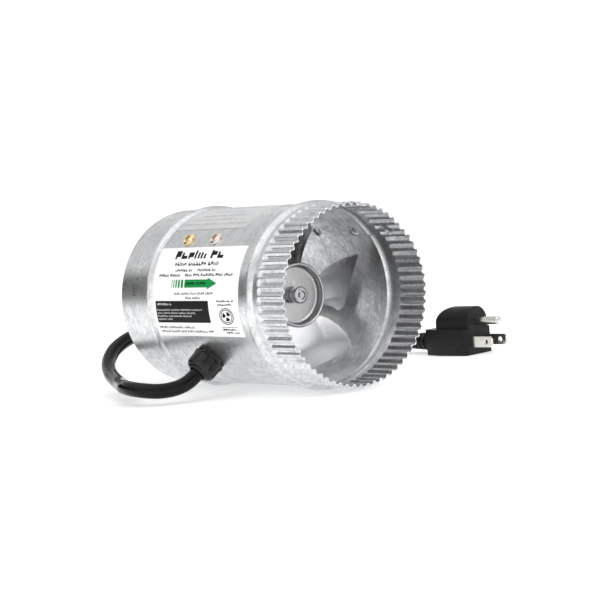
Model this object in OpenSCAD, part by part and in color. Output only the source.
// Inline duct fan: a galvanised duct tube with a shaded-pole motor on a
// bracket inside it, a five-blade aluminium impeller, and a mains cord.
// Millimetres. +X runs along the duct, in the direction of the air.
// The origin is on the duct's axis, at the open end of the inlet collar.
// The labels face -Y and +Z is up. Wall angles are measured from -Y towards +Z.

/* [Duct tube] */
// Outside diameter of the plain inlet collar and of the tube
duct_d = 100; // [96:0.5:120]
// Thickness of the galvanised sheet
sheet_t = 0.6; // [0.4:0.1:0.8]
// Length of the plain inlet collar, up to its bead
inlet_len = 24; // [20:1:30]
// Width of the stop bead next to the inlet collar
inlet_bead_w = 7; // [5:0.5:9]
// Length of the plain barrel between the two beads
barrel_len = 87; // [86:1:105]
// Width of the stop bead next to the outlet collar
outlet_bead_w = 7.3; // [5:0.5:9]
// How far the beads stand out from the tube
bead_h = 1.8; // [1.2:0.1:2.4]
// Length of the plain band between the outlet bead and the crimps
band_len = 3.7; // [2:0.1:8]
// Length of the crimped outlet collar
crimp_len = 22; // [16:1:30]
// Number of crimps round the outlet collar
crimp_count = 64; // [48:1:72]
// Depth of a crimp
crimp_depth = 1.4; // [0.8:0.1:2]
// Diameter of the clinch buttons that close the lap seam
clinch_d = 6; // [4:0.5:8]
// Height of the clinch buttons
clinch_h = 0.5; // [0.3:0.1:0.8]

/* [Motor bracket] */
// Angle of the bracket on the wall
bracket_angle = 45; // [42:1:48]
// Thickness of the bracket's sheet
bracket_t = 1.5; // [1:0.1:2]
// Width of the bracket's foot and arm
bracket_w = 14; // [10:1:16]
// Distance from the duct's open inlet to the bracket's motor plate
bracket_x = 40; // [38:0.5:42]
// Distance from the open inlet to the first bracket screw
screw_x = 53.5; // [52:0.5:56]
// Distance between the two bracket screws
screw_pitch = 25.5; // [20:0.5:26]
// Thread diameter of the bracket screws
screw_d = 4; // [3:0.5:4.5]
// Head diameter of the bracket screws
screw_head_d = 8; // [6:0.5:9]

/* [Motor] */
// Angle of the motor's top, with its coil on the opposite side
motor_angle = 100; // [96:1:104]
// Distance from the motor plate to the lamination stack
stack_gap = 14.5; // [13:0.5:15]
// Thickness of the lamination stack
stack_len = 16; // [14:1:17]
// Diameter of the bore in the laminations
stator_bore_d = 26.4; // [24:0.2:27]
// Air gap between rotor and laminations
air_gap = 0.4; // [0.3:0.05:0.6]
// Width of the lamination stack
stack_w = 46; // [44:1:50]
// Distance from the axis to the outer edge of the coil limb
limb_reach = 38; // [36:0.5:39]
// Thickness of the limb that carries the coil
limb_t = 8; // [6:0.5:9]
// Diameter of the motor shaft
shaft_d = 3.2; // [3:0.1:4]
// Radial running clearance of the shaft in its bearings
bearing_clearance = 0.03; // [0.01:0.01:0.1]
// Length of a motor bearing
bearing_len = 8; // [6:0.5:9]
// Outside diameter of a motor bearing
bearing_d = 9; // [8:0.5:10]
// Diameter of the motor's through-bolts
bolt_d = 3.5; // [3:0.5:4]

/* [Impeller] */
// Diameter over the blade tips
fan_d = 92; // [86:1:94]
// Outside diameter of the hub cup's rolled rim
hub_d = 36; // [32:1:40]
// Length of the hub cup
hub_len = 14; // [12:1:16]
// Depth of the hub's disc below its rolled rim
hub_recess = 5; // [3:0.5:7]
// Distance from the rotor's end to the back of the hub cup
hub_gap = 13.5; // [12.5:0.5:15]
// Thickness of the impeller's aluminium sheet
fan_t = 0.9; // [0.7:0.1:1.2]
// Pitch of the blades, measured from the plane of rotation
blade_pitch = 31; // [28:1:36]
// Number of blades
blade_count = 5; // [5:1:5]
// Radius of the blades' curved section
blade_curve_r = 60; // [50:1:90]
// Angle of the first blade at rest
blade_angle = 3; // [0:1:71]
// Diameter of the hub's centre boss
boss_d = 9.4; // [8:0.2:11]

/* [Cable gland] */
// Distance from the open inlet to the cable gland
gland_x = 69; // [66:0.5:74]
// Angle of the cable gland on the wall
gland_angle = -36; // [-38:1:-33]
// Diameter of the gland's thread
gland_thread_d = 12; // [11:0.5:13]
// Outside diameter of the gland's nut
gland_nut_d = 17.6; // [16:0.2:18.4]
// Height of the gland's clamping nut
gland_nut_h = 9.8; // [9.4:0.1:11.5]

/* [Labels] */
// Length of the rating label along the duct
label_len = 81; // [70:1:84]
// Width of the rating label round the duct
label_w = 51; // [44:1:53]
// Distance from the open inlet to both labels
label_x = 31.5; // [31.5:0.5:34]
// Thickness of the labels
label_t = 0.15; // [0.1:0.05:0.2]
// Length of the foil label along the duct
foil_len = 64; // [50:1:80]
// Width of the foil label round the duct
foil_w = 45; // [30:1:60]

/* [Mains cord] */
// Diameter of the cord's jacket
cord_d = 8.4; // [8.4:0.1:8.4]
// Diameter of the coil at the middle of its turns
coil_d = 80; // [80:1:80]
// Diameter of the insulated wires inside the tube
wire_d = 2.2; // [1.8:0.1:2.4]

/* [Plug] */
// Length of the plug's body
plug_len = 34; // [30:1:36]
// Width of the plug's body
plug_w = 24; // [22:0.5:28]
// Height of the plug's lower block
plug_block_h = 15.5; // [14:0.5:17]
// Radius of the round hump over the ground pin
plug_hump_r = 8.6; // [7:0.2:9]
// Height of the two flat blades above the plug's underside
plug_blade_h = 7.8; // [7:0.1:9]
// Distance between the two flat blades
plug_blade_gap = 12.7; // [12.7:0.1:12.7]
// Length of the flat blades
plug_blade_len = 16; // [15:0.1:18]
// Diameter of the round ground pin
ground_pin_d = 4.8; // [4.8:0.1:4.8]
// Length of the round ground pin
ground_pin_len = 19; // [18:0.1:21]

/* [Hidden] */
$fn = 96;

// Duct stations along X
duct_r = duct_d / 2;
inner_r = duct_r - sheet_t;
inlet_bead_x = inlet_len;
barrel_x = inlet_bead_x + inlet_bead_w;
outlet_bead_x = barrel_x + barrel_len;
band_x = outlet_bead_x + outlet_bead_w;
crimp_x = band_x + band_len;
duct_len = crimp_x + crimp_len;
floor_z = -(duct_r + bead_h);

// Motor stations along X
stack_x = bracket_x + bracket_t + stack_gap;
stack_end = stack_x + stack_len;
rotor_r = stator_bore_d / 2 - air_gap;
end_ring_len = 2.5;
rotor_end = stack_end + end_ring_len;
strap_t = 1.5;
strap_gap = 4.5;
rear_strap_x = stack_x - strap_gap - strap_t;
front_strap_x = stack_end + strap_gap;
bolt_y = (stator_bore_d / 2 + stack_w / 2) / 2 + 0.4;
limb_w = stack_w / 2 - 14;
rear_bearing_x = rear_strap_x + strap_t - bearing_len;
front_bearing_x = front_strap_x;
nut_h = 3;
bolt_head_h = 2.5;
slip = 0.15;

// Impeller stations along X
hub_x = rotor_end + hub_gap;
hub_end = hub_x + hub_len;
hub_disc_x = hub_end - hub_recess;
hub_wall_r = hub_d / 2 - 1;
fan_r = fan_d / 2;
blade_x = hub_end - 10;
shaft_end = hub_end + 2;

// Bracket
foot_outer = sqrt(pow(inner_r - 0.05, 2) - pow(bracket_w / 2, 2));
foot_inner = foot_outer - bracket_t;
foot_end = screw_x + screw_pitch + 5.5;
bracket_hole_r = bearing_d / 2 + 4;
ground_screw_d = 3;
ground_screw_r = 33;
terminal_t = 0.8;

// Gland
thread_r = gland_thread_d / 2;
gland_flange_r = 9.2;
gland_flange_h = 2.2;
gland_washer_h = 1.2;
gland_seat = duct_r + 1.2;
gland_face = gland_seat + gland_flange_h;
gland_nose_r = gland_face + 0.1 + gland_nut_h;
gland_inner_end = duct_r - 8.5;
jacket_end = gland_inner_end - 1.5;
cord_r = cord_d / 2;

// Turns of the coil: three side by side, two high
turn_gap = 0.2;
turn_pitch = cord_d + turn_gap;
coil_center = [-46, 98];
coil_in_r = coil_d / 2 - turn_pitch - cord_r - turn_gap;
coil_out_r = coil_d / 2 + turn_pitch + cord_r + turn_gap;
coil_h = 2 * turn_pitch + turn_gap;
coil_z = floor_z + 0.1;
tie_t = 0.8;
tie_w = 10;
tie_angle = 20;

// Plug placed on the floor behind the outlet
plug_pos = [63, 131];
plug_yaw = 5;
plug_z = floor_z + 0.1;
relief_len = 21.5;
hump_z = plug_blade_h + 11.9;

function wall_point(x, angle, r) = [x, -r * cos(angle), r * sin(angle)];
function unit(v) = v / norm(v);
function plug_point(d, side, h) = [
    plug_pos[0] + d * cos(plug_yaw) - side * sin(plug_yaw),
    plug_pos[1] + d * sin(plug_yaw) + side * cos(plug_yaw),
    plug_z + h
];
function coil_point(angle, r, h) = [
    coil_center[0] + r * cos(angle),
    coil_center[1] + r * sin(angle),
    coil_z + h
];

// Route of the cord from inside the gland to the top layer of the coil
lead_route = [
    wall_point(gland_x, gland_angle, jacket_end),
    wall_point(gland_x, gland_angle, duct_r + 4),
    wall_point(gland_x, gland_angle, gland_nose_r - 3),
    wall_point(gland_x, gland_angle, gland_nose_r + 0.3),
    [68.9, -54.4, -39.3],
    [68.4, -57.9, -41.2],
    [67.4, -62, -42.7],
    [65.4, -66.5, -43.6],
    [61.9, -71.3, -43.9],
    [56.3, -75.5, -43.4],
    [48.9, -78, -42.6],
    [34.9, -76.6, -41.8],
    [22.4, -69.7, -42.4],
    [9.9, -62.9, -42.7],
    [-3.3, -57.7, -41.5],
    [-16.2, -52.4, -38.9],
    [-27.7, -45.6, -34.1],
    [-35.8, -35.6, -28.2],
    [-41, -23.1, -23.9],
    [-46, -9.9, -22.1],
    [-52.1, 2.9, -22.4],
    [-58.9, 15.3, -24],
    [-65.8, 27.5, -26.6],
    [-72.3, 39.7, -30],
    [-78.4, 52, -33.9],
    [-84.1, 64.6, -37.3],
    coil_point(205, coil_d / 2 + turn_pitch, 3 * turn_pitch / 2 + turn_gap)
];

// Route of the cord from the bottom layer of the coil to the plug
tail_route = [
    coil_point(75, coil_d / 2 + turn_pitch, turn_pitch / 2 + turn_gap / 2),
    [-16, 140, -47.5],
    [0, 134, -47],
    [15, 128, -46],
    [30, 125.5, -45],
    plug_point(-relief_len, 0, plug_blade_h - 0.5)
];

// Routes of the wires from the end of the jacket to the motor
line_route = [
    wall_point(gland_x - 2, gland_angle, jacket_end + 0.5),
    [67, -31.5, -22],
    [64, -31.5, -22],
    [52, -31.5, -23],
    [47, -26, -30],
    [47.5, -18, -35.5],
    [51.5, -13, -37]
];
neutral_route = [
    wall_point(gland_x - 0.5, gland_angle + 3, jacket_end + 0.5),
    [67, -34, -17.5],
    [64, -34.5, -16.5],
    [52, -34.5, -16],
    [45, -26, -22],
    [45, -14, -27],
    [51.5, -7, -31]
];
ground_route = [
    wall_point(gland_x - 0.5, gland_angle - 3, jacket_end + 0.5),
    [67, -30.2, -25],
    [61.5, -31, -27.5],
    [56, -36.5, -24.5],
    [50, -39, -20],
    [42, -42, -7],
    [38.8, -39.5, 6],
    [39.1, -31.5, 16.5]
];

// A tube swept through the points of a route, one ring of sides at each point
function tangent(p, i) =
    unit(p[min(i + 1, len(p) - 1)] - p[max(i - 1, 0)]);
module swept_tube(p, r, sides, ref) {
    n = len(p);
    rings = [
        for (i = [0 : n - 1])
            let (t = tangent(p, i), s = unit(cross(t, ref)), q = cross(s, t))
            for (k = [0 : sides - 1])
                p[i] + r * (cos(360 * k / sides) * s + sin(360 * k / sides) * q)
    ];
    walls = [
        for (i = [0 : n - 2])
            for (k = [0 : sides - 1])
                let (a = i * sides + k, b = i * sides + (k + 1) % sides)
                each [[a, b, b + sides], [a, b + sides, a + sides]]
    ];
    first = [for (k = [0 : sides - 1]) sides - 1 - k];
    last = [for (k = [0 : sides - 1]) (n - 1) * sides + k];
    polyhedron(rings, concat([first], walls, [last]), convexity = 6);
}

// A shape drawn round Z turned to lie round the duct's axis, starting at x
module on_axis(x) {
    translate([x, 0, 0]) rotate([0, 90, 0]) children();
}

// A shape drawn along Z turned to point outwards at a place on the wall
module at_wall(x, angle) {
    translate([x, 0, 0]) rotate([90 - angle, 0, 0]) children();
}

// A plate across the duct, drawn with its top at an angle and extruded from x
module cross_plate(x, t, angle) {
    rotate([90 - angle, 0, 0])
        translate([x, 0, 0])
            rotate([90, 0, 90])
                linear_extrude(t) children();
}

module ring(x, t, r_out, r_in) {
    on_axis(x) difference() {
        cylinder(h = t, r = r_out);
        translate([0, 0, -1]) cylinder(h = t + 2, r = r_in);
    }
}

// ---- Duct tube ----

function bead_arc(x, w, r) = [
    for (i = [0 : 8]) [r + bead_h * sin(180 * i / 8), x + w * i / 8]
];
function tube_line(r, start) = concat(
    [[r, start]],
    bead_arc(inlet_bead_x, inlet_bead_w, r),
    bead_arc(outlet_bead_x, outlet_bead_w, r),
    [[r, crimp_x]]
);
function reversed(p) = [for (i = [len(p) - 1 : -1 : 0]) p[i]];

module tube_shell() {
    on_axis(0) rotate_extrude($fn = 144)
        polygon(concat(tube_line(duct_r, 0), reversed(tube_line(inner_r, 0))));
}

function crimp_outline(r) = [
    for (i = [0 : crimp_count - 1])
        for (j = [0 : 3])
            let (
                a = 360 * (i + [0, 0.34, 0.5, 0.84][j]) / crimp_count,
                q = r - (j < 2 ? 0 : crimp_depth)
            )
            [q * cos(a), q * sin(a)]
];

module crimped_collar() {
    crest = duct_r + 0.1;
    on_axis(crimp_x - 0.2) linear_extrude(crimp_len + 0.2) difference() {
        polygon(crimp_outline(crest));
        polygon(crimp_outline(crest - sheet_t));
    }
    ring(crimp_x - 0.4, 0.6, duct_r - 0.05, crest - crimp_depth - sheet_t - 0.2);
}

module housing() {
    seam_angle = 140;
    clinch_pitch = 31;
    first_clinch = 45.5;
    color([0.78, 0.79, 0.80]) difference() {
        union() {
            tube_shell();
            crimped_collar();
            for (i = [0 : 2])
                at_wall(first_clinch + i * clinch_pitch, seam_angle)
                    translate([0, 0, inner_r + 0.2])
                        cylinder(h = sheet_t + clinch_h, d = clinch_d);
        }
        at_wall(gland_x, gland_angle) translate([0, 0, duct_r - 10])
            cylinder(h = 20, r = thread_r + slip);
        for (i = [0 : 1])
            at_wall(screw_x + i * screw_pitch, bracket_angle) translate([0, 0, duct_r - 10])
                cylinder(h = 20, r = screw_d / 2 + slip);
    }
}

// ---- Motor bracket and its screws ----

module motor_bracket() {
    half = bracket_w / 2;
    wide = bolt_y + 4.6;
    color([0.70, 0.71, 0.72]) difference() {
        union() {
            cross_plate(bracket_x, bracket_t, bracket_angle)
                polygon([
                    [-half, foot_outer], [-half, 22], [-half - 6, 8], [-half, -8],
                    [half, -8], [half + 6, 8], [half, 22], [half, foot_outer]
                ]);
            cross_plate(bracket_x, bracket_t, motor_angle)
                translate([-wide, -8]) square([2 * wide, 16]);
            cross_plate(bracket_x, foot_end - bracket_x, bracket_angle)
                translate([-half, foot_inner]) square([bracket_w, bracket_t]);
        }
        on_axis(bracket_x - 1) cylinder(h = bracket_t + 2, r = bracket_hole_r);
        for (i = [0 : 1])
            at_wall(screw_x + i * screw_pitch, bracket_angle)
                translate([0, 0, foot_inner - 1])
                    cylinder(h = bracket_t + 2, r = screw_d / 2 + 0.05);
        at_bolts(bracket_x - 1) cylinder(h = bracket_t + 2, r = bolt_d / 2 + slip);
        at_ground_screw() cylinder(h = 10, r = ground_screw_d / 2 + 0.05, center = true, $fn = 48);
    }
}

module bracket_screws() {
    tip = foot_inner - 1.6;
    head_h = 2.3;
    under = duct_r + 0.02;
    color([0.80, 0.74, 0.55])
        for (i = [0 : 1])
            at_wall(screw_x + i * screw_pitch, bracket_angle) difference() {
                union() {
                    translate([0, 0, tip]) cylinder(h = under - tip, d = screw_d);
                    rotate_extrude() polygon(concat(
                        [[0, under], [screw_head_d / 2, under], [screw_head_d / 2, under + 0.8]],
                        [for (a = [20 : 20 : 80])
                            [screw_head_d / 2 * cos(a), under + 0.8 + (head_h - 0.8) * sin(a)]],
                        [[0, under + head_h]]
                    ));
                }
                for (turn = [20, 110])
                    rotate([0, 0, turn]) translate([-2.3, -0.5, under + 1])
                        cube([4.6, 1, 4]);
            }
}

// ---- Motor ----

module stator_outline() {
    top = 20;
    difference() {
        translate([-stack_w / 2, -limb_reach]) square([stack_w, limb_reach + top]);
        circle(d = stator_bore_d);
        translate([-stack_w / 2 + limb_w, -limb_reach + limb_t])
            square([stack_w - 2 * limb_w, limb_reach - limb_t - 17]);
        for (s = [-1, 1])
            translate([s * bolt_y, 0]) circle(r = bolt_d / 2 + slip, $fn = 32);
    }
}

module stator_core() {
    color([0.35, 0.36, 0.38]) difference() {
        cross_plate(stack_x, stack_len, motor_angle) stator_outline();
        at_shaded_poles() cylinder(h = stack_len + 2, r = 1.05, $fn = 32);
    }
}

// Copper shading bars, one through each shaded pole of the stack
module at_shaded_poles() {
    for (s = [-1, 1])
        at_wall(stack_x - 1, motor_angle)
            translate([0, s * 6.5, s * (stator_bore_d / 2 + 0.6)])
                rotate([0, 90, 0]) children();
}

module shading_rings() {
    color([0.80, 0.45, 0.28])
        at_shaded_poles() cylinder(h = stack_len + 2, r = 1, $fn = 32);
}

bobbin_w = stack_w - 2 * limb_w - 0.6;
bobbin_over = 6;
bobbin_x = stack_x - bobbin_over;
bobbin_len = stack_len + 2 * bobbin_over;
bobbin_low = -limb_reach - 5.6;
bobbin_high = -limb_reach + limb_t + 5.6;
cheek = 1.2;
core_gap = 0.2;

module coil_bobbin() {
    color([0.10, 0.10, 0.11]) rotate([90 - motor_angle, 0, 0]) difference() {
        translate([bobbin_x, -bobbin_w / 2, bobbin_low])
            cube([bobbin_len, bobbin_w, bobbin_high - bobbin_low]);
        translate([stack_x - core_gap, -bobbin_w, -limb_reach - core_gap])
            cube([stack_len + 2 * core_gap, 2 * bobbin_w, limb_t + 2 * core_gap]);
        difference() {
            translate([bobbin_x - 1, -bobbin_w / 2 + cheek, bobbin_low - 1])
                cube([bobbin_len + 2, bobbin_w - 2 * cheek, bobbin_high - bobbin_low + 2]);
            translate([stack_x - 1.4, -bobbin_w, -limb_reach - 1.4])
                cube([stack_len + 2.8, 2 * bobbin_w, limb_t + 2.8]);
        }
    }
}

module coil_winding() {
    color([0.62, 0.28, 0.12]) rotate([90 - motor_angle, 0, 0]) difference() {
        translate([bobbin_x + 0.6, -bobbin_w / 2 + cheek + 0.05, bobbin_low + 0.6])
            cube([bobbin_len - 1.2, bobbin_w - 2 * cheek - 0.1, bobbin_high - bobbin_low - 1.2]);
        translate([stack_x - 1.45, -bobbin_w, -limb_reach - 1.45])
            cube([stack_len + 2.9, 2 * bobbin_w, limb_t + 2.9]);
    }
}

// Strap across the rotor with a bearing pocket and two standing feet
module bearing_bracket(strap_x, foot_x, pocket_x, pocket_len) {
    color([0.72, 0.73, 0.74]) difference() {
        union() {
            cross_plate(strap_x, strap_t, motor_angle)
                translate([-bolt_y - 3.6, -6]) square([2 * bolt_y + 7.2, 12]);
            at_bolts(foot_x) cylinder(h = strap_gap + 0.1, r = 3.4, $fn = 48);
            on_axis(pocket_x) cylinder(h = pocket_len, r = bearing_d / 2 + 2);
        }
        on_axis(pocket_x - 1) cylinder(h = pocket_len + 2, r = bearing_d / 2 + 0.02);
        at_bolts(strap_x - 6) cylinder(h = 14, r = bolt_d / 2 + slip, $fn = 48);
    }
}

module rear_bearing_bracket() {
    bearing_bracket(rear_strap_x, rear_strap_x + strap_t - 0.1, rear_bearing_x, bearing_len);
}

module front_bearing_bracket() {
    bearing_bracket(front_strap_x, stack_end, front_bearing_x, bearing_len);
}

module motor_bearing(x) {
    color([0.72, 0.55, 0.32]) on_axis(x) difference() {
        cylinder(h = bearing_len, d = bearing_d);
        translate([0, 0, -1])
            cylinder(h = bearing_len + 2, r = shaft_d / 2 + bearing_clearance);
    }
}

module rear_bearing() {
    motor_bearing(rear_bearing_x);
}

module front_bearing() {
    motor_bearing(front_bearing_x);
}

module at_bolts(x) {
    for (s = [-1, 1])
        at_wall(x, motor_angle)
            translate([0, s * bolt_y, 0]) rotate([0, 90, 0]) children();
}

module motor_bolts() {
    reach = front_strap_x + strap_t + nut_h + 1 - bracket_x;
    color([0.74, 0.75, 0.76]) at_bolts(bracket_x) {
        cylinder(h = reach, d = bolt_d, $fn = 48);
        translate([0, 0, -bolt_head_h]) cylinder(h = bolt_head_h, r = 3.1, $fn = 48);
    }
}

module motor_nuts() {
    color([0.74, 0.75, 0.76]) at_bolts(front_strap_x + strap_t) difference() {
        cylinder(h = nut_h, r = 3.5, $fn = 6);
        translate([0, 0, -1]) cylinder(h = nut_h + 2, r = bolt_d / 2 + 0.03, $fn = 48);
    }
}

module bracket_spacers() {
    from = bracket_x + bracket_t;
    color([0.15, 0.15, 0.16]) at_bolts(from) difference() {
        cylinder(h = rear_strap_x - from, r = 3.2, $fn = 48);
        translate([0, 0, -1])
            cylinder(h = rear_strap_x - from + 2, r = bolt_d / 2 + slip, $fn = 48);
    }
}

// ---- Rotor and shaft ----

module rotor_core() {
    color([0.45, 0.46, 0.48]) ring(stack_x, stack_len, rotor_r, shaft_d / 2);
}

module rotor_end_rings() {
    color([0.82, 0.83, 0.85])
        for (x = [stack_x - end_ring_len, stack_end])
            ring(x, end_ring_len, rotor_r - 0.5, 6.5);
}

module motor_shaft() {
    color([0.85, 0.86, 0.87])
        on_axis(rear_bearing_x + 0.5)
            cylinder(h = shaft_end - rear_bearing_x - 0.5, d = shaft_d);
}

module thrust_washers() {
    washer_t = 1;
    color([0.55, 0.36, 0.22]) {
        ring(rear_strap_x + strap_t + 0.5, washer_t, 3.2, shaft_d / 2);
        ring(front_strap_x - 0.5 - washer_t, washer_t, 3.2, shaft_d / 2);
    }
}

// ---- Impeller ----

module hub_cup() {
    r = hub_wall_r;
    t = fan_t;
    color([0.88, 0.89, 0.90]) on_axis(hub_x) difference() {
        union() {
            rotate_extrude() polygon([
                [r - t, 0], [r, 0], [r, hub_len - 1.6], [r + 0.7, hub_len - 1.3],
                [r + 1, hub_len - 0.7], [r + 0.7, hub_len - 0.2], [r, hub_len],
                [r - t, hub_len - 0.4]
            ]);
            translate([0, 0, hub_len - hub_recess - t]) cylinder(h = t, r = r - t / 2);
        }
        translate([0, 0, -1]) cylinder(h = hub_len + 2, r = boss_d / 2 - 0.8);
        rivet_places(hub_len - hub_recess - t - 1) cylinder(h = t + 2, r = 1.3, $fn = 32);
    }
}

// Bush that carries the hub on the shaft: a collar, a neck and a round head
module hub_boss() {
    shoulder = hub_len - hub_recess;
    head_r = boss_d / 2;
    neck_r = head_r - 0.8;
    bore_r = shaft_d / 2;
    color([0.80, 0.80, 0.81]) on_axis(hub_x) rotate_extrude() polygon([
        [bore_r, shoulder - fan_t - 3], [head_r + 3.5, shoulder - fan_t - 3],
        [head_r + 3.5, shoulder - fan_t], [neck_r, shoulder - fan_t],
        [neck_r, shoulder + 3.2], [head_r, shoulder + 3.7],
        [head_r, hub_len + 1], [head_r - 0.9, hub_len + 1.6], [bore_r, hub_len + 1.6]
    ]);
}

module rivet_places(z) {
    for (i = [0 : 2])
        rotate([0, 0, 60 + 120 * i]) translate([6.4, 0, z]) children();
}

// Three small rivets that clamp the boss's collar to the hub's disc
module hub_rivets() {
    shoulder = hub_len - hub_recess;
    color([0.80, 0.80, 0.81]) on_axis(hub_x)
        rivet_places(shoulder - fan_t) cylinder(h = fan_t + 0.3, r = 1.2, $fn = 32);
}

// Outline of a blade: across is along its chord, up is away from the axis
module blade_outline() {
    root = hub_wall_r - 3;
    corner_r = 4.5;
    corner = [-12, fan_r - 7.5];
    polygon(concat(
        [[-7.5, root], [-10.5, root + 12], [-13.8, root + 20]],
        [for (a = [190 : -20 : 90]) corner + corner_r * [cos(a), sin(a)]],
        [[-3, fan_r - 1.6], [6, fan_r - 1.8], [14, fan_r - 2.8], [20.6, fan_r - 4.6]],
        [[21.3, root + 24], [20.8, root + 18.5], [18.6, root + 12.5], [15, root + 7]],
        [[10.5, root + 3], [6, root]]
    ));
}

// A blade is a piece of a curved shell, cut by its outline, hub and tip circle
module blade(i) {
    turn = 180 - blade_angle - i * 360 / blade_count;
    color([0.90, 0.91, 0.92]) difference() {
        intersection() {
            at_wall(blade_x, turn) rotate([0, 0, -90 + blade_pitch]) rotate([90, 0, 0])
                translate([0, 0, -12]) linear_extrude(24) blade_outline();
            at_wall(blade_x, turn) rotate([0, 0, -90 + blade_pitch])
                translate([0, blade_curve_r, 0]) difference() {
                    cylinder(h = fan_d, r = blade_curve_r, $fn = 180);
                    translate([0, 0, -1]) cylinder(h = fan_d + 2, r = blade_curve_r - fan_t, $fn = 180);
                }
            on_axis(blade_x - 30) cylinder(h = 60, r = fan_r);
        }
        on_axis(blade_x - 30) cylinder(h = 60, r = hub_wall_r + 0.05);
        on_axis(hub_end - 1.8) cylinder(h = 20, r = hub_d / 2 + 0.2);
    }
}

module blade_1() { blade(0); }
module blade_2() { blade(1); }
module blade_3() { blade(2); }
module blade_4() { blade(3); }
module blade_5() { blade(4); }

// ---- Cable gland ----

module gland_body() {
    bore = cord_r + 0.35;
    color([0.07, 0.07, 0.08]) at_wall(gland_x, gland_angle) difference() {
        union() {
            translate([0, 0, gland_inner_end])
                cylinder(h = gland_face - gland_inner_end, r = thread_r);
            translate([0, 0, gland_seat]) cylinder(h = gland_flange_h, r = gland_flange_r, $fn = 6);
            translate([0, 0, gland_face - 0.1]) cylinder(h = 4.5, r = thread_r + 0.4);
        }
        translate([0, 0, gland_inner_end - 1])
            cylinder(h = gland_face - gland_inner_end + 8, r = bore);
    }
}

module gland_washer() {
    color([0.05, 0.05, 0.05]) difference() {
        at_wall(gland_x, gland_angle) difference() {
            translate([0, 0, duct_r - 2]) cylinder(h = gland_seat - duct_r + 2, r = gland_flange_r - 0.7);
            translate([0, 0, duct_r - 3]) cylinder(h = 8, r = thread_r + slip);
        }
        on_axis(gland_x - 20) cylinder(h = 40, r = duct_r + 0.02, $fn = 144);
    }
}

module gland_nut() {
    base = gland_face + 0.1;
    nut_r = gland_nut_d / 2;
    nose = gland_nose_r;
    color([0.07, 0.07, 0.08]) at_wall(gland_x, gland_angle) difference() {
        rotate_extrude() polygon([
            [thread_r + 0.5, base], [nut_r, base], [nut_r, base + 5],
            [nut_r - 0.8, base + 7], [nut_r - 2.6, nose - 0.8], [nut_r - 3.6, nose],
            [cord_r + 0.3, nose], [cord_r + 0.3, nose - 1.5], [thread_r + 0.5, nose - 3.5]
        ]);
        for (k = [0 : 9])
            rotate([0, 0, 36 * k]) translate([nut_r + 0.4, 0, base - 1])
                cylinder(h = 8, r = 1, $fn = 16);
    }
}

module gland_seal() {
    color([0.05, 0.05, 0.05]) at_wall(gland_x, gland_angle)
        translate([0, 0, gland_face + 4.6]) difference() {
            cylinder(h = gland_nose_r - 3.7 - gland_face - 4.6, r = thread_r + 0.4);
            translate([0, 0, -1]) cylinder(h = 12, r = cord_r + 0.06);
        }
}

module gland_locknut() {
    face = sqrt(pow(inner_r, 2) - pow(8.6, 2)) - 0.05;
    color([0.07, 0.07, 0.08]) at_wall(gland_x, gland_angle)
        translate([0, 0, face - 4]) difference() {
            cylinder(h = 4, r = 8.6, $fn = 6);
            translate([0, 0, -1]) cylinder(h = 6, r = thread_r + 0.04);
        }
}

// ---- Wires inside the tube ----

module line_wire() {
    color([0.06, 0.06, 0.06]) swept_tube(line_route, wire_d / 2, 8, [1, 0, 0.3]);
}

module neutral_wire() {
    color([0.90, 0.90, 0.88]) swept_tube(neutral_route, wire_d / 2, 8, [1, 0, 0.3]);
}

module ground_wire() {
    color([0.10, 0.45, 0.18]) swept_tube(ground_route, wire_d / 2, 8, [1, 0, 0.3]);
}

// Crimped joint caps on the two supply wires
module wire_connectors() {
    cap_r = 2.9;
    color([0.85, 0.80, 0.62])
        for (route = [line_route, neutral_route])
            let (a = route[2], b = route[3], d = b - a)
            translate(a + 0.1 * d)
                rotate([0, acos(d[2] / norm(d)), atan2(d[1], d[0])])
                    difference() {
                        cylinder(h = 0.8 * norm(d), r = cap_r, $fn = 32);
                        translate([0, 0, -1])
                            cylinder(h = norm(d) + 2, r = wire_d / 2 + 0.1, $fn = 32);
                    }
}

// Earthing screw through the bracket's arm, with the wire's terminal under its head
module at_ground_screw() {
    at_wall(bracket_x, bracket_angle)
        translate([0, -3, ground_screw_r]) rotate([0, -90, 0]) children();
}

module ground_terminal() {
    color([0.75, 0.72, 0.62]) at_ground_screw() difference() {
        union() {
            cylinder(h = terminal_t, r = 3.4, $fn = 48);
            rotate([0, 0, -150]) translate([0, -1.2, 0]) cube([7, 2.4, terminal_t]);
        }
        translate([0, 0, -1]) cylinder(h = terminal_t + 2, r = ground_screw_d / 2 + 0.1, $fn = 48);
    }
}

module ground_screw() {
    color([0.20, 0.50, 0.25]) at_ground_screw() {
        translate([0, 0, -bracket_t - 2.5])
            cylinder(h = bracket_t + 2.5 + terminal_t + 0.1, d = ground_screw_d, $fn = 48);
        translate([0, 0, terminal_t + 0.02]) cylinder(h = 2, r = 3, $fn = 48);
    }
}

// ---- Labels ----

module wrapped_label(x, length, low_angle, high_angle) {
    r = duct_r + 0.05;
    on_axis(x) rotate([0, 0, -90 - high_angle])
        rotate_extrude(angle = high_angle - low_angle, $fn = 180)
            translate([r, 0]) square([label_t, length]);
}

module rating_label() {
    span = label_w / duct_r * 180 / PI;
    color([0.95, 0.95, 0.95]) wrapped_label(label_x, label_len, -19.5, -19.5 + span);
}

module foil_label() {
    span = foil_w / duct_r * 180 / PI;
    color([0.80, 0.80, 0.81]) wrapped_label(label_x + 2, foil_len, 54, 54 + span);
}

// ---- Mains cord ----

module cord_lead() {
    color([0.04, 0.04, 0.045]) swept_tube(lead_route, cord_r, 12, [0, 0, 1]);
}

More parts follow.
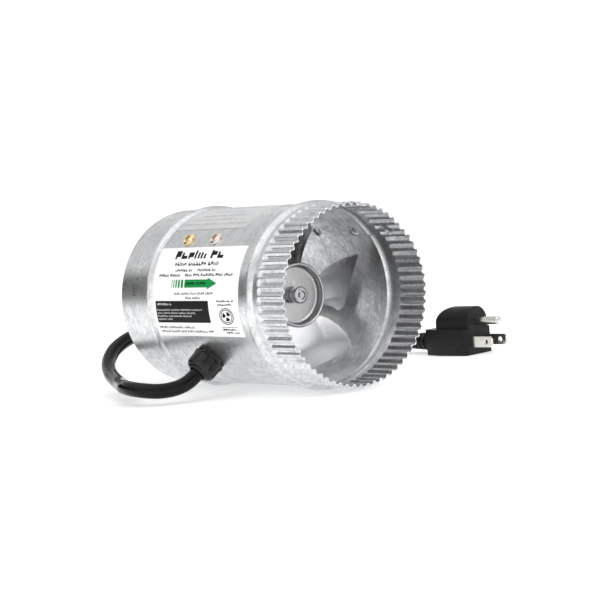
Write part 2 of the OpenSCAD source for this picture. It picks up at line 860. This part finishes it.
module cord_coil() {
    bevel = 2;
    color([0.04, 0.04, 0.045])
        translate([coil_center[0], coil_center[1], coil_z]) rotate_extrude() polygon([
            [coil_in_r + bevel, 0], [coil_out_r - bevel, 0], [coil_out_r, bevel],
            [coil_out_r, coil_h - bevel], [coil_out_r - bevel, coil_h],
            [coil_in_r + bevel, coil_h], [coil_in_r, coil_h - bevel], [coil_in_r, bevel]
        ]);
}

module cord_tail() {
    color([0.04, 0.04, 0.045]) swept_tube(tail_route, cord_r, 12, [0, 0, 1]);
}

// Strap that holds the coil's turns together, open underneath where it lies flat
module coil_tie() {
    gap = 0.15;
    inner = sqrt(pow(coil_in_r, 2) - pow(tie_w / 2, 2)) - gap;
    outer = coil_out_r + gap;
    top = coil_h + gap;
    color([0.02, 0.02, 0.02])
        translate([coil_center[0], coil_center[1], coil_z]) rotate([0, 0, tie_angle])
            translate([0, tie_w / 2, 0]) rotate([90, 0, 0]) linear_extrude(tie_w)
                polygon([
                    [inner - tie_t, 0], [inner - tie_t, top + tie_t], [outer + tie_t, top + tie_t],
                    [outer + tie_t, 0], [outer, 0], [outer, top], [inner, top], [inner, 0]
                ]);
}

// ---- Plug ----

module on_plug() {
    translate([plug_pos[0], plug_pos[1], plug_z]) rotate([0, 0, plug_yaw]) children();
}

// Moulded body: a low block with tapered rear, a round hump and a ribbed relief
module plug_body() {
    half = plug_w / 2;
    bevel = 2;
    taper = 2.5;
    waist = 12;
    hump_start = 8;
    relief_z = plug_blade_h - 0.5;
    color([0.05, 0.05, 0.055]) on_plug() difference() {
        union() {
            linear_extrude(plug_block_h) polygon([
                [0, -half + taper], [waist, -half], [plug_len - bevel, -half],
                [plug_len, -half + bevel], [plug_len, half - bevel],
                [plug_len - bevel, half], [waist, half], [0, half - taper]
            ]);
            translate([hump_start, 0, 0]) rotate([90, 0, 90])
                linear_extrude(plug_len - hump_start) union() {
                    translate([0, hump_z]) circle(r = plug_hump_r);
                    translate([-plug_hump_r, 1]) square([2 * plug_hump_r, hump_z - 1]);
                }
            translate([-relief_len, 0, relief_z]) rotate([0, 90, 0])
                rotate_extrude($fn = 48) polygon(concat(
                    [[0, 0.01]],
                    [for (k = [0 : 4]) each [
                        [4.5 + 0.25 * k, 0.01 + 4 * k], [4.7 + 0.25 * k, 2.6 + 4 * k],
                        [4.1 + 0.2 * k, 2.7 + 4 * k], [4.1 + 0.2 * k, 3.9 + 4 * k]
                    ]],
                    [[5.6, relief_len - 1.3], [5.6, relief_len + 0.5], [0, relief_len + 0.5]]
                ));
        }
        translate([hump_start, 0, plug_block_h]) rear_round();
        translate([plug_len - 6, 0, hump_z]) rotate([0, 90, 0])
            cylinder(h = 8, d = ground_pin_d + 0.04);
        for (s = [-1, 1])
            translate([plug_len - 6, s * plug_blade_gap / 2 - 0.77, plug_blade_h - 3.2])
                cube([8, 1.54, 6.4]);
    }
}

// Rounds the rear of the hump, seen from the side
module rear_round() {
    r = 10;
    top = hump_z + plug_hump_r - plug_block_h;
    translate([0, 20, 0]) rotate([90, 0, 0]) linear_extrude(40) difference() {
        translate([-1, 0.4]) square([r + 1, top + 2]);
        translate([r, 0]) square([r, top + 3]);
        translate([r, top - r]) circle(r = r);
        translate([0, -r]) square([2 * r, top]);
    }
}

module plug_blades() {
    blade_h = 6.3;
    chamfer = 1.2;
    color([0.80, 0.79, 0.76]) on_plug()
        for (s = [-1, 1])
            translate([plug_len - 6, s * plug_blade_gap / 2 + 0.75, plug_blade_h])
                rotate([90, 0, 0]) linear_extrude(1.5) difference() {
                    polygon([
                        [0, -blade_h / 2], [plug_blade_len + 6 - chamfer, -blade_h / 2],
                        [plug_blade_len + 6, -blade_h / 2 + chamfer],
                        [plug_blade_len + 6, blade_h / 2 - chamfer],
                        [plug_blade_len + 6 - chamfer, blade_h / 2], [0, blade_h / 2]
                    ]);
                    translate([plug_blade_len + 6 - 4.3, 0]) circle(d = 3.1, $fn = 48);
                }
}

module ground_pin() {
    r = ground_pin_d / 2;
    reach = ground_pin_len + 6;
    color([0.80, 0.79, 0.76]) on_plug()
        translate([plug_len - 6, 0, hump_z]) rotate([0, 90, 0]) rotate_extrude()
            polygon([
                [0, 0], [r, 0], [r, reach - 2.6], [r - 0.5, reach - 1.2],
                [r - 1.3, reach - 0.3], [0, reach]
            ]);
}

housing();
motor_bracket();
bracket_screws();
stator_core();
shading_rings();
coil_bobbin();
coil_winding();
rear_bearing_bracket();
front_bearing_bracket();
rear_bearing();
front_bearing();
motor_bolts();
motor_nuts();
bracket_spacers();
rotor_core();
rotor_end_rings();
motor_shaft();
thrust_washers();
hub_cup();
hub_boss();
hub_rivets();
blade_1();
blade_2();
blade_3();
blade_4();
blade_5();
gland_body();
gland_washer();
gland_nut();
gland_seal();
gland_locknut();
line_wire();
neutral_wire();
ground_wire();
wire_connectors();
ground_terminal();
ground_screw();
rating_label();
foil_label();
cord_lead();
cord_coil();
cord_tail();
coil_tie();
plug_body();
plug_blades();
ground_pin();
